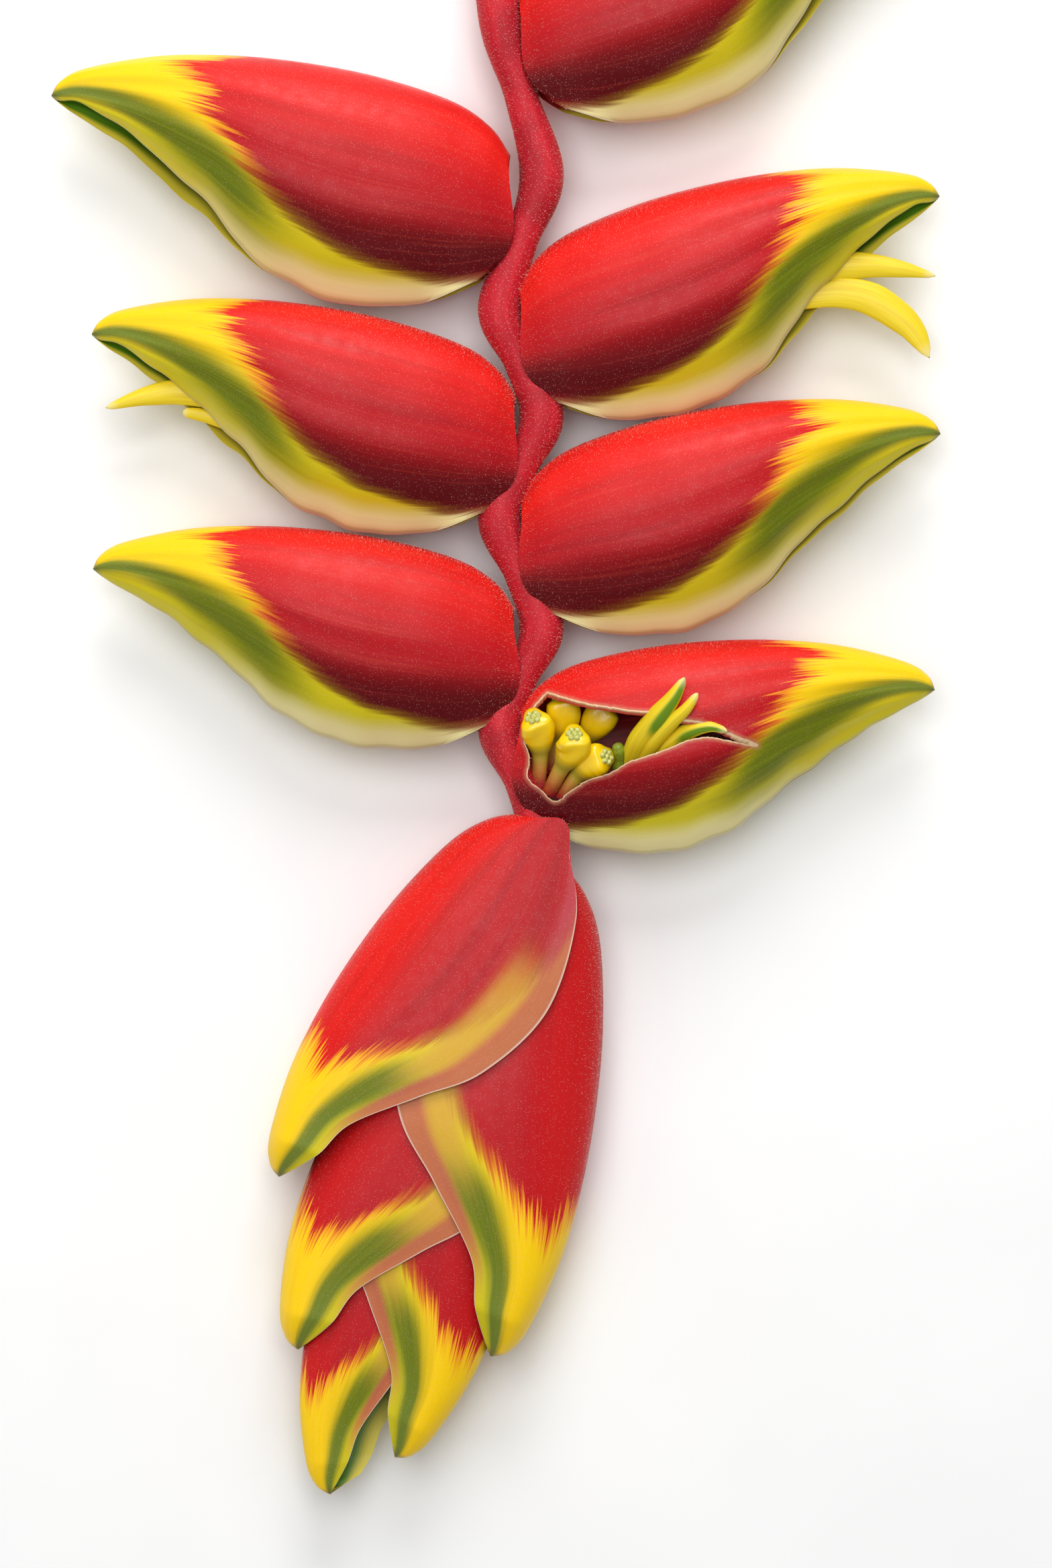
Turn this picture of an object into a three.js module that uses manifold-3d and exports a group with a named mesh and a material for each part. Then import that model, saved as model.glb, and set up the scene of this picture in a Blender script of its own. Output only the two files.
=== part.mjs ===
// A cut flower head of a hanging lobster-claw heliconia, lying on its side on a flat surface.
// Millimetres, +Z up. The stem lies along Y, its cut end at +Y and the closed bud at -Y.
// Each bract is a leaf folded along its keel, so it is a thin folded shell: the keel faces the cut end and
// the two lips face the bud. The stem passes through the open bases of the bracts.
import * as THREE from "three";
import { mergeVertices } from "three/addons/utils/BufferGeometryUtils.js";
import Module from "manifold-3d";

const wasm = await Module();
wasm.setup();

// ---- driving dimensions ----
const CLEARANCE = 0.35; // air kept between neighbouring pieces
const STEM_RADIUS = 4.1;
const STEM_SWING = 4.2; // how far the zigzag stem leans away from each bract
const STEM_DROP = 4; // the stem is furthest over this far below a bract's root
const PEDUNCLE_LENGTH = 60; // bare stalk above the first bract
const GROWN_HALF = 13.2; // fullest half thickness of a grown bract
const GROWN_WALL = 1.2;
const BUD_HALF = 11.5; // fullest half thickness of the bud
const BUD_WALL = 0.8;
const LENGTH_STEPS = 12; // facets along a bract
const GIRTH_STEPS = 6; // facets from the keel to a lip
const ROUND_SIDES = 10; // facets round the stem and the stalks

// Outline of a folded bract from its side, for a reach of 1: x from root to tip, y towards the keel side.
const KEEL_LINE = [
  [0, 0], [0.05, 0.055], [0.14, 0.1], [0.3, 0.131], [0.46, 0.142],
  [0.62, 0.138], [0.78, 0.117], [0.93, 0.072], [1, 0],
];
const LIP_LINE = [
  [0.036, -0.281], [0.16, -0.345], [0.34, -0.362], [0.5, -0.313], [0.67, -0.192], [0.84, -0.082], [1, 0],
];
const BUD_LIP_LINE = [
  [0.015, -0.137], [0.13, -0.235], [0.34, -0.296], [0.535, -0.252],
  [0.66, -0.164], [0.8, -0.068], [0.9, -0.045], [1, 0],
];
// How far a bract's base reaches past the straight line from keel to lip, for a reach of 1.
const BASE_BULGE = 0.05;

// Half thickness along a bract and along the whole bud, as shares of the fullest.
const GROWN_FULLNESS = [
  [0, 0.42], [0.1, 0.68], [0.22, 0.9], [0.36, 1], [0.52, 0.93], [0.68, 0.7], [0.82, 0.44], [1, 0.1],
];
const BUD_FULLNESS = [[0, 0.5], [0.2, 0.86], [0.4, 1], [0.6, 0.95], [0.8, 0.8], [1, 0.55]];

// The grown bracts from the cut end down. side is -1 on the left and 1 on the right, root is where the keel
// meets the stem, lean is in degrees above level, and gape is how far the lips stand apart near the tip.
const GROWN = [
  { name: "bract_right_1", side: 1, root: [-1.2, 159.4], reach: 90, lean: 15.5, gape: 4 },
  { name: "bract_left_1", side: -1, root: [-2.3, 127], reach: 93.5, lean: 7.3, gape: 4 },
  { name: "bract_right_2", side: 1, root: [-0.8, 100], reach: 87.2, lean: 12.3, gape: 4 },
  { name: "bract_left_2", side: -1, root: [-1.2, 78.4], reach: 86.6, lean: 8.2, gape: 3 },
  { name: "bract_right_3", side: 1, root: [-0.4, 57.6], reach: 86, lean: 8.75, gape: 1.6 },
  { name: "bract_left_3", side: -1, root: [-1.5, 35.6], reach: 85.5, lean: 5.2, gape: 0.4 },
  { name: "bract_right_4", side: 1, root: [-0.3, 15.3], reach: 83.8, lean: 2.5, gape: 0.4 },
];

// The young bracts of the bud, outermost first, each folded over all that follow. crown and depth stretch the
// keel side and the lip side, and back is how many millimetres the far half reaches beyond the near half.
const YOUNG = [
  { name: "bud_bract_1", side: -1, root: [-0.3, -6], reach: 88.3, lean: -56.2, crown: 1, depth: 1, back: 0 },
  { name: "bud_bract_2", side: 1, root: [8.2, -16.4], reach: 100.3, lean: -98.3, crown: 0.97, depth: 1, back: 0 },
  { name: "bud_bract_3", side: -1, root: [-8.6, -36.6], reach: 86, lean: -64.6, crown: 1.12, depth: 0.98, back: 0 },
  { name: "bud_bract_4", side: 1, root: [0.8, -52.8], reach: 87.4, lean: -107.6, crown: 0.97, depth: 1.05, back: 0 },
  { name: "bud_bract_5", side: -1, root: [-22.1, -70.4], reach: 75, lean: -77.2, crown: 1.15, depth: 0.6, back: 4.5 },
];
const BUD_AXIS = [new THREE.Vector2(2, -6), new THREE.Vector2(-34, -144)];
const BUD_WIDTH = 40; // half the width over which the bud is rounded

// The tear in the near half of the last grown bract.
const TEAR = [
  [0.4, 9.7], [1.9, 14.5], [5.1, 18.2], [13.4, 15.9], [23, 14.4], [32.1, 12.7], [43, 8.6],
  [34.2, 8.7], [26.9, 6.5], [21.4, 4.5], [13.4, 0.9], [6.7, -3.5], [1.3, 1.3],
];

// Flower parts. line runs from foot to end; radii follow it, and thin is their thickness as a share of width.
const STALK = [1.6, 1.7, 1.7, 1.9, 3.1, 3.2, 2.4]; // an ovary on its stalk
const OVARIES = [
  { name: "ovary_1", line: [[2.4, -0.4, 2.4], [2.8, 7.6, 4.4], [2.2, 13.2, 7]] },
  { name: "ovary_2", line: [[6, -2.6, 1.8], [9, 4, 5.8], [10.8, 9.4, 9]] },
  { name: "ovary_3", line: [[9.8, -3, 0.6], [12.8, 1.6, 2.6], [17, 4.6, 4.4]] },
  { name: "ovary_4", line: [[6, 0, -4.2], [7, 8, -3.2], [8.6, 19, -2]] },
  { name: "ovary_5", line: [[11.4, 1, -4], [13, 8, -3], [15.6, 17, -1.6]] },
];
const PETALS = [
  { name: "small_bud", line: [[17, -3.4, -3.4], [19.8, 3, -3], [21.8, 9.4, -2]],
    radii: [1.1, 1.2, 1.5, 1.3, 0.4], thin: 1 },
  { name: "open_flower_upper", line: [[21.6, 3, 4.2], [25, 10.4, 12], [29, 16.4, 16.4], [32.6, 21.2, 16.6]],
    radii: [1.4, 1.8, 1.9, 1.6, 1, 0.3], thin: 0.8 },
  { name: "open_flower_lower", line: [[25.2, 1.8, 5.4], [28.4, 8.6, 12], [32.2, 14.2, 16.4], [36, 18.4, 16.4]],
    radii: [1.4, 1.8, 1.8, 1.5, 0.9, 0.3], thin: 0.8 },
  { name: "open_flower_sepal", line: [[27.6, -1, 4], [31, 5, 10.6], [35, 9.6, 15.6], [41, 10.4, 15.8]],
    radii: [1.2, 1.6, 1.9, 1.5, 1, 0.3], thin: 0.7 },
  { name: "flower_right_upper", line: [[57, 102, 0], [66, 104.9, 0], [75, 104.4, 0], [83.6, 102.6, 0]],
    radii: [2.2, 2.4, 2.1, 1.5, 0.9, 0.3], thin: 0.45 },
  { name: "flower_right_sepal", line: [[56, 96.4, 0], [67, 98.8, 0], [76, 95.2, 0], [82.4, 86.1, 0]],
    radii: [2.4, 2.8, 3, 2.8, 2, 0.4], thin: 0.4 },
  { name: "flower_left_upper", line: [[-58, 77, 0], [-68, 79.3, 0], [-76, 78.4, 0], [-84.1, 76, 0]],
    radii: [2, 2.2, 2.3, 1.8, 1, 0.3], thin: 0.45 },
  { name: "flower_left_lower", line: [[-56, 71.4, 0], [-62, 74, 0], [-68, 75, 0]],
    radii: [1.6, 1.5, 1.2, 0.4], thin: 0.5 },
];
// The first letters of the names of what grows in a bract.
const HOLDS = {
  bract_right_2: ["flower_right"],
  bract_left_2: ["flower_left"],
  bract_right_4: ["ovary", "open_flower", "small_bud"],
};

// ---- materials ----
const surface = (color, roughness) => new THREE.MeshStandardMaterial({ color, roughness, metalness: 0 });
const bractRed = surface("#c8202a", 0.45);
const stemRed = surface("#b5202c", 0.7);
const ovaryYellow = surface("#e3c024", 0.4);
const petalYellow = surface("#efdc3c", 0.45);
const budGreen = surface("#7f9a2e", 0.45);

// ---- small helpers ----
const clamp01 = (x) => Math.min(1, Math.max(0, x));
const mix = (a, b, f) => a + (b - a) * f;
const vector = (at) => new THREE.Vector3(...at);

// A value read off a line of [position, value] pairs, eased between them.
function readLine(pairs, at) {
  let i = 0;
  while (i < pairs.length - 2 && at > pairs[i + 1][0]) i += 1;
  const f = clamp01((at - pairs[i][0]) / (pairs[i + 1][0] - pairs[i][0]));
  return mix(pairs[i][1], pairs[i + 1][1], f * f * (3 - 2 * f));
}

function geometryOf(points, triangles) {
  const geometry = new THREE.BufferGeometry();
  geometry.setAttribute("position", new THREE.Float32BufferAttribute(points.flat(), 3));
  geometry.setIndex(triangles.flat());
  return geometry;
}

// A closed surface as a solid, turned right side out if it was built mirrored.
function solidOf(geometry) {
  const bare = geometry.clone();
  bare.deleteAttribute("normal");
  bare.deleteAttribute("uv");
  const merged = mergeVertices(bare, 1e-4);
  const vertProperties = new Float32Array(merged.attributes.position.array);
  const build = (triVerts) => new wasm.Manifold(new wasm.Mesh({ numProp: 3, vertProperties, triVerts }));
  const made = build(new Uint32Array(merged.index.array));
  return made.volume() > 0 ? made : build(new Uint32Array(merged.index.array).reverse());
}

// What is left of a solid when its neighbours are cut out of it.
function clearOf(solid, neighbours) {
  const left = neighbours.reduce((body, other) => body.subtract(other), solid);
  return left.decompose().reduce((a, b) => (b.volume() > a.volume() ? b : a));
}

function meshOf(name, solid, material) {
  const { vertProperties, triVerts } = solid.getMesh();
  const geometry = new THREE.BufferGeometry();
  geometry.setAttribute("position", new THREE.Float32BufferAttribute(vertProperties, 3));
  geometry.setIndex([...triVerts]);
  const mesh = new THREE.Mesh(geometry, material);
  mesh.name = name;
  return mesh;
}

// A closed round body along a line, its radius following a list of radii from end to end.
function taperSolid(line, radii, thin, steps, grow = 0) {
  const curve = new THREE.CatmullRomCurve3(line.map(vector));
  const up = new THREE.Vector3(0, 0, 1);
  const points = [];
  for (let i = 0; i <= steps; i += 1) {
    const at = curve.getPointAt(i / steps);
    const along = curve.getTangentAt(i / steps);
    const across = new THREE.Vector3().crossVectors(up, along).normalize();
    const over = new THREE.Vector3().crossVectors(along, across);
    const place = (i / steps) * (radii.length - 1);
    const low = Math.min(Math.floor(place), radii.length - 2);
    const radius = mix(radii[low], radii[low + 1], place - low) + grow;
    for (let j = 0; j < ROUND_SIDES; j += 1) {
      const turn = (2 * Math.PI * j) / ROUND_SIDES;
      const side = across.clone().multiplyScalar(radius * Math.cos(turn));
      const lift = over.clone().multiplyScalar((thin * (radius - grow) + grow) * Math.sin(turn));
      points.push(at.clone().add(side).add(lift).toArray());
    }
  }
  const ends = [0, 1].map((u) => {
    const reach = curve.getTangentAt(u).multiplyScalar((u ? 1 : -1) * Math.max(grow, 0.02));
    return points.push(curve.getPointAt(u).add(reach).toArray()) - 1;
  });
  const triangles = [];
  for (let j = 0; j < ROUND_SIDES; j += 1) {
    const next = (j + 1) % ROUND_SIDES;
    for (let i = 0; i < steps; i += 1) {
      const [a, b] = [i * ROUND_SIDES, (i + 1) * ROUND_SIDES];
      triangles.push([a + j, a + next, b + next], [a + j, b + next, b + j]);
    }
    triangles.push([ends[0], next, j], [ends[1], steps * ROUND_SIDES + j, steps * ROUND_SIDES + next]);
  }
  return solidOf(geometryOf(points, triangles));
}

// ---- folded bracts ----
// Height of a bract above its fold as q goes from the keel to the lip, 1 at its fullest.
function grownSection(q) {
  const full = 0.42;
  if (q < full) return Math.sqrt(1 - (1 - q / full) ** 2);
  return mix(1, 0.08, ((q - full) / (1 - full)) ** 1.25);
}

const budSection = (q) => (q < 0.4 ? Math.sqrt(1 - (1 - q / 0.4) ** 2) : 1);

// Half thickness of the whole bud at a point of its plane.
function budHeight(x, y) {
  const axis = BUD_AXIS[1].clone().sub(BUD_AXIS[0]);
  const from = new THREE.Vector2(x, y).sub(BUD_AXIS[0]);
  const along = clamp01(from.dot(axis) / axis.lengthSq());
  const off = Math.abs(from.cross(axis)) / axis.length();
  return BUD_HALF * readLine(BUD_FULLNESS, along) * (1 - 0.45 * (off / BUD_WIDTH) ** 2);
}

// A point of a bract: s runs from root to tip, and t from -1 at the far lip over the keel at 0 to 1 at the
// near lip. inset is how deep under its outer skin the point lies.
function grownPoint(spec, s, t, inset) {
  const half = GROWN_HALF * readLine(GROWN_FULLNESS, s);
  const opened = clamp01((s - 0.45) / 0.2) * clamp01((1 - s) / 0.1) * spec.gape;
  const lipGap = CLEARANCE + 0.3 * opened;
  return foldPoint(spec, s, t, inset, LIP_LINE, t > 0 ? -0.9 * opened : 0, (q, rise) => {
    const room = Math.max(half - GROWN_WALL - lipGap, 0);
    return room * grownSection(q) + (lipGap + GROWN_WALL * clamp01(0.3 + (1 - s) * 5) - inset) * rise;
  });
}

function budPoint(spec, s, t, inset) {
  const layer = YOUNG.indexOf(spec) * (BUD_WALL + CLEARANCE);
  const closing = Math.sqrt(clamp01((1 - s) / 0.1));
  return foldPoint(spec, s, t, inset, BUD_LIP_LINE, t < 0 ? spec.back : 0, (q, rise, x, y) => {
    const room = Math.max(budHeight(x, y) - layer - BUD_WALL - CLEARANCE, 0.3);
    const edge = CLEARANCE + BUD_WALL * clamp01(0.3 + (1 - s) * 5) - inset;
    return room * budSection(q) * closing + edge * rise;
  });
}

// The fold that both kinds share: a point between the keel and a lip, lipShift moving that lip outwards.
function foldPoint(spec, s, t, inset, lipLine, lipShift, heightAt) {
  const curveOf = (line, tall) => new THREE.SplineCurve(line.map(([x, y]) => new THREE.Vector2(x, y * tall)));
  const keel = curveOf(KEEL_LINE, spec.crown ?? 1).getPointAt(s).multiplyScalar(spec.reach);
  const lip = curveOf(lipLine, spec.depth ?? 1).getPointAt(s).multiplyScalar(spec.reach);
  const deep = keel.distanceTo(lip);
  if (deep > 0) {
    lip.lerp(keel, -lipShift / Math.max(deep, Math.abs(lipShift)));
    keel.lerp(lip, (inset * Math.min(1, 0.25 * deep)) / deep);
    lip.lerp(keel, Math.min(inset, 0) / deep);
  }
  const q = Math.abs(t);
  const p = keel.clone().lerp(lip, q);
  p.x -= BASE_BULGE * spec.reach * (1 - clamp01(s / 0.3)) * Math.sin(Math.PI * q ** 1.6);
  p.rotateAround(new THREE.Vector2(), THREE.MathUtils.degToRad(spec.lean));
  const x = spec.root[0] + spec.side * p.x;
  const y = spec.root[1] + p.y;
  const rise = Math.sqrt(1 - (1 - Math.min(q / 0.15, 1)) ** 2);
  return [x, y, Math.sign(t) * heightAt(q, rise, x, y)];
}

// The folded shell itself, from its outer skin, its inner skin and the rim between them. Both skins close at
// the tip, the inner one a little short of it.
function shellSolid(pointAt, wall, grow = 0) {
  const columns = 2 * GIRTH_STEPS + 1;
  const points = [];
  const skin = (reach, inset) => {
    const rows = [];
    for (let i = 0; i < LENGTH_STEPS; i += 1) {
      const s = (reach * i) / LENGTH_STEPS;
      const addPoint = (_, j) => points.push(pointAt(s, j / GIRTH_STEPS - 1, inset)) - 1;
      rows.push(Array.from({ length: columns }, addPoint));
    }
    const [x, y] = pointAt(reach, 1, inset);
    rows.push(Array(columns).fill(points.push([x, y, 0]) - 1));
    return rows;
  };
  const outer = skin(1, -grow);
  const inner = skin(0.97, wall + grow);
  const triangles = [];
  const quad = (a, b, c, d) => triangles.push([a, b, c], [a, c, d]);
  for (let i = 0; i < LENGTH_STEPS; i += 1) {
    for (let j = 0; j < columns - 1; j += 1) {
      quad(outer[i][j], outer[i][j + 1], outer[i + 1][j + 1], outer[i + 1][j]);
      quad(inner[i + 1][j], inner[i + 1][j + 1], inner[i][j + 1], inner[i][j]);
    }
    const last = columns - 1;
    quad(outer[i][0], outer[i + 1][0], inner[i + 1][0], inner[i][0]);
    quad(inner[i][last], inner[i + 1][last], outer[i + 1][last], outer[i][last]);
  }
  for (let j = 0; j < columns - 1; j += 1) quad(outer[0][j + 1], outer[0][j], inner[0][j], inner[0][j + 1]);
  return solidOf(geometryOf(points, triangles.filter(([a, b, c]) => a !== b && b !== c && a !== c)));
}

// ---- stem ----
function stemSolid(grow = 0) {
  const top = GROWN[0].root[1] + PEDUNCLE_LENGTH;
  const bends = [...GROWN, YOUNG[0]].map(({ side, root }) => [-side * STEM_SWING, root[1] - STEM_DROP, 0]);
  const line = [[-6, top, 0], [-5.2, top - 35, 0], ...bends, [5.5, -22, 0], [-2, -38, 0], [-9, -56, 0]];
  const radii = [...Array(14).fill(STEM_RADIUS), 3.2, 2, 1.4];
  return taperSolid(line, radii, 1, 46, grow);
}

// ---- assembly ----
const flower = new THREE.Group();
const add = (name, solid, material) => flower.add(meshOf(name, solid, material));

const stem = stemSolid();
const stemSpace = stemSolid(CLEARANCE);
add("stem", stem, stemRed);

const flowerSpaces = {};
for (const { name, line, radii, thin } of PETALS) {
  const material = name === "small_bud" ? budGreen : petalYellow;
  add(name, clearOf(taperSolid(line, radii, thin, 9), [stemSpace]), material);
  flowerSpaces[name] = taperSolid(line, radii, thin, 9, CLEARANCE);
}
for (const { name, line } of OVARIES) {
  add(name, clearOf(taperSolid(line, STALK, 1, 9), [stemSpace]), ovaryYellow);
  flowerSpaces[name] = taperSolid(line, STALK, 1, 9, CLEARANCE);
}

const tearShape = new THREE.Shape(TEAR.map(([x, y]) => new THREE.Vector2(x, y)));
const tearSpace = solidOf(new THREE.ExtrudeGeometry(tearShape, { depth: 2 * GROWN_HALF, bevelEnabled: false }));
for (const spec of GROWN) {
  const neighbours = [stemSpace];
  if (spec.name === "bract_right_4") neighbours.push(tearSpace);
  for (const [name, space] of Object.entries(flowerSpaces)) {
    if (HOLDS[spec.name]?.some((start) => name.startsWith(start))) neighbours.push(space);
  }
  const shell = shellSolid((s, t, inset) => grownPoint(spec, s, t, inset), GROWN_WALL);
  add(spec.name, clearOf(shell, neighbours), bractRed);
}

const budSpaces = [stemSpace];
for (const spec of YOUNG) {
  const pointAt = (s, t, inset) => budPoint(spec, s, t, inset);
  add(spec.name, clearOf(shellSolid(pointAt, BUD_WALL), budSpaces), bractRed);
  const space = shellSolid(pointAt, BUD_WALL, CLEARANCE);
  budSpaces.push(space);
  for (const [x, y] of [[1, 0], [-1, 0], [0, 1], [0, -1]]) {
    budSpaces.push(space.translate([x * CLEARANCE, y * CLEARANCE, 0]));
  }
}

// The flower head rests on z = 0, centred over the origin.
const bounds = new THREE.Box3().setFromObject(flower);
const middle = bounds.getCenter(new THREE.Vector3());
flower.position.set(-middle.x, -middle.y, -bounds.min.z);

export default flower;
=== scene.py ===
"""A cut heliconia flower head lying on a pale surface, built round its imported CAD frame.

Each bract is a leaf folded along its keel. A point on it is given by s, from its root at 0 to its tip at 1,
and by t, from the far lip at -1 over the keel at 0 to the near lip at 1; q is t without its sign. The
bract's UV map holds s and t, so its colours and veins follow its growth.
"""

import math
from random import Random

import bmesh
import bpy
import numpy as np
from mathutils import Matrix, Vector


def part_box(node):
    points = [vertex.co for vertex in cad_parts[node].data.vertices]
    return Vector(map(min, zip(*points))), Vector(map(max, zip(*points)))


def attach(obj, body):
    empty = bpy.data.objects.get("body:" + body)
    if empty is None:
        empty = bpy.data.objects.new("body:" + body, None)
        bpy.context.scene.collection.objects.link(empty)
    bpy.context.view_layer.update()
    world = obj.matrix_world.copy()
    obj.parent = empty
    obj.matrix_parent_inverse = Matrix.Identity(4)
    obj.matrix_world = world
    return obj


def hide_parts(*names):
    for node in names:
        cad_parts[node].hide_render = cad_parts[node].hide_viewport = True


bl_info = {
    "name": "Heliconia flower head",
    "version": (1, 0, 0),
    "blender": (4, 5, 0),
    "location": "View3D > Sidebar > Heliconia",
    "description": "Builds a cut heliconia flower head piece by piece round its CAD frame",
    "category": "Add Mesh",
}

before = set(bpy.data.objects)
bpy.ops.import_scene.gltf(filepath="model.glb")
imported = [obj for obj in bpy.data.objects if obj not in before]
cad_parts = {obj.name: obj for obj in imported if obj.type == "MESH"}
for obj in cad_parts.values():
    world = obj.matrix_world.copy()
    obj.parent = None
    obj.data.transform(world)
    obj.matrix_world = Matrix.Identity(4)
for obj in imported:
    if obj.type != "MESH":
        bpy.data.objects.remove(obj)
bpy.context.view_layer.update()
MM = 0.001
BODY = "root"
CREASE_DEGREES = 55  # edges sharper than this stay crisp
FRAY = 0.05  # how far the rim of the tear strays from its line, in mm
STEM_HAIR_DENSITY = 2.6e6  # hairs on a square metre
BRACT_HAIR_DENSITY = 3.0e6
VIEW_ASPECT = 1.49043  # height of the view over its width
LENS_MM = 110

# Outline of a folded bract from its side, for a reach of 1: x from root to tip, y towards the keel side.
KEEL_LINE = [
    (0, 0), (0.05, 0.055), (0.14, 0.1), (0.3, 0.131), (0.46, 0.142), (0.62, 0.138), (0.78, 0.117),
    (0.93, 0.072), (0.985, 0.036), (1, 0),
]
LIP_LINE = [
    (0.036, -0.281), (0.16, -0.345), (0.34, -0.362), (0.5, -0.313), (0.67, -0.192), (0.84, -0.082),
    (0.96, -0.024), (1, 0),
]
BUD_LIP_LINE = [
    (0.015, -0.137), (0.13, -0.235), (0.34, -0.296), (0.535, -0.252), (0.66, -0.164), (0.8, -0.068),
    (0.9, -0.045), (1, 0),
]
BASE_BULGE = 0.05  # how far a bract's base reaches past the straight line from keel to lip, for a reach of 1
# Half thickness along a grown bract and along the whole bud, as shares of the fullest.
GROWN_FULLNESS = [
    (0, 0.3), (0.04, 0.5), (0.1, 0.68), (0.2, 0.88), (0.36, 1), (0.52, 0.93), (0.68, 0.7), (0.82, 0.44),
    (0.95, 0.2), (1, 0.1),
]
BUD_FULLNESS = [(0, 0.5), (0.2, 0.86), (0.4, 1), (0.6, 0.95), (0.8, 0.8), (1, 0.55)]

# The grown bracts from the cut end down: side, reach and gape in mm, lean in degrees above level.
GROWN = {
    "bract_right_1": dict(side=1, reach=90, lean=15.5, gape=3.0),
    "bract_left_1": dict(side=-1, reach=93.5, lean=7.3, gape=3.6),
    "bract_right_2": dict(side=1, reach=87.2, lean=12.3, gape=3.2),
    "bract_left_2": dict(side=-1, reach=86.6, lean=8.2, gape=2.6),
    "bract_right_3": dict(side=1, reach=86, lean=8.75, gape=1.6),
    "bract_left_3": dict(side=-1, reach=85.5, lean=5.2, gape=0.2),
    "bract_right_4": dict(side=1, reach=83.8, lean=2.5, gape=0.2),
}
# The young bracts of the bud, outermost first. back is how far the far half reaches beyond the near half.
YOUNG = {
    "bud_bract_1": dict(side=-1, reach=88.3, lean=-56.2, crown=1, depth=1, back=0),
    "bud_bract_2": dict(side=1, reach=100.3, lean=-98.3, crown=0.97, depth=1, back=0),
    "bud_bract_3": dict(side=-1, reach=86, lean=-64.6, crown=1.12, depth=0.98, back=0),
    "bud_bract_4": dict(side=1, reach=87.4, lean=-107.6, crown=0.97, depth=1.05, back=0),
    "bud_bract_5": dict(side=-1, reach=75, lean=-77.2, crown=1.15, depth=0.6, back=4.5),
}
# Where the red ends along a bract, for q from keel to lip, in a grown bract and in a young one.
GROWN_RED = [
    (0, 0.6), (0.08, 0.68), (0.3, 0.64), (0.5, 0.57), (0.65, 0.49), (0.75, 0.38), (0.82, 0.24), (0.9, 0.08),
    (1, -0.05),
]
YOUNG_RED = [(0, 0.65), (0.2, 0.7), (0.4, 0.66), (0.6, 0.56), (0.75, 0.43), (0.88, 0.24), (1, 0.1)]
# The q of the middle of the green band, and half its width, for s from root to tip.
GROWN_GREEN = [(0, 0.9), (0.4, 0.83), (0.6, 0.71), (0.75, 0.61), (0.9, 0.5), (1, 0.52)]
YOUNG_GREEN = [(0, 0.82), (0.55, 0.8), (0.7, 0.72), (0.85, 0.66), (1, 0.6)]
GREEN_WIDTH = [(0, 0.02), (0.35, 0.08), (0.5, 0.17), (0.7, 0.2), (0.9, 0.17), (1, 0.26)]
# The stem in mm: how far it swings to each side of its axis, how far each bend lies below its bract's root,
# the bare stalk as places beside the axis and below the cut end, and the end hidden in the bud as places
# beside the axis and below the last bend, with their radius.
STEM_SWING = 4.2
STEM_DROP = 4
STALK = [(-6, 0), (-5.4, -35)]
HIDDEN_END = [(5.5, -12, 3.2), (-2, -28, 2.2), (-9, -46, 1.4)]
# The opening torn through the near half of the last grown bract, in mm from its root.
TEAR_BRACT = "bract_right_4"
TEAR = [
    (5.4, 3.0), (9.8, 1.6), (13.7, 0.6), (18.5, -0.2), (23.3, -0.9), (28, -1.2), (32.4, -2.6), (36.5, -3.2),
    (42.5, -5.6), (47.5, -7.7), (41.5, -6.6), (37.6, -5.9), (33.6, -6.5), (30.4, -7.8), (24.9, -9.8),
    (21.7, -10.8), (17.7, -13.2), (13.7, -14.4), (9.8, -16.8), (7, -18.8), (4.2, -16.5), (1.6, -14.0),
    (1.9, -9.9), (0.7, -5.6), (2.2, -0.8),
]


# ---- curves and fields ----
def smooth_line(points, count=300):
    """A function of a share of length along a smooth curve through the points."""
    p = np.array(points, float)
    f = np.linspace(0, len(p) - 1, count)
    i = np.minimum(f.astype(int), len(p) - 2)
    f = (f - i)[:, None]
    before, start, end, after = (p[np.clip(i + k, 0, len(p) - 1)] for k in (-1, 0, 1, 2))
    leave, arrive = (end - before) / 2, (after - start) / 2
    line = (2 * start - 2 * end + leave + arrive) * f**3 + (3 * end - 3 * start - 2 * leave - arrive) * f**2
    line = line + leave * f + start
    length = np.r_[0, np.cumsum(np.linalg.norm(np.diff(line, axis=0), axis=1))]
    length /= length[-1]
    return lambda s: np.stack([np.interp(s, length, line[:, k]) for k in range(p.shape[1])], -1)


def eased(pairs, at):
    """A value read off a smooth line through (position, value) pairs."""
    x, y = np.array(pairs, float).T
    fine = np.linspace(x[0], x[-1], 201)
    curve = np.interp(fine, x, y)
    curve = np.convolve(np.pad(curve, 8, mode="edge"), np.ones(17) / 17, mode="valid")
    return np.interp(at, fine, curve)


def ramp(x, low, high):
    """A smooth rise from 0 to 1 as x goes from low to high."""
    f = np.clip((x - low) / (high - low), 0, 1)
    return f * f * (3 - 2 * f)


def domed(share):
    """The height of a quarter circle: 0 at 0, rising steeply and then level at 1."""
    return np.sqrt(np.clip(1 - (1 - np.minimum(share, 1)) ** 2, 0, 1))


def inside(x, y, outline):
    """Which points lie inside a closed outline."""
    hit = np.zeros(np.shape(x), bool)
    for (ax, ay), (bx, by) in zip(outline, np.roll(outline, -1, axis=0)):
        crossing = ax + (y - ay) * (bx - ax) / (by - ay + 1e-12)
        hit ^= ((ay > y) != (by > y)) & (x < crossing)
    return hit


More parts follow.
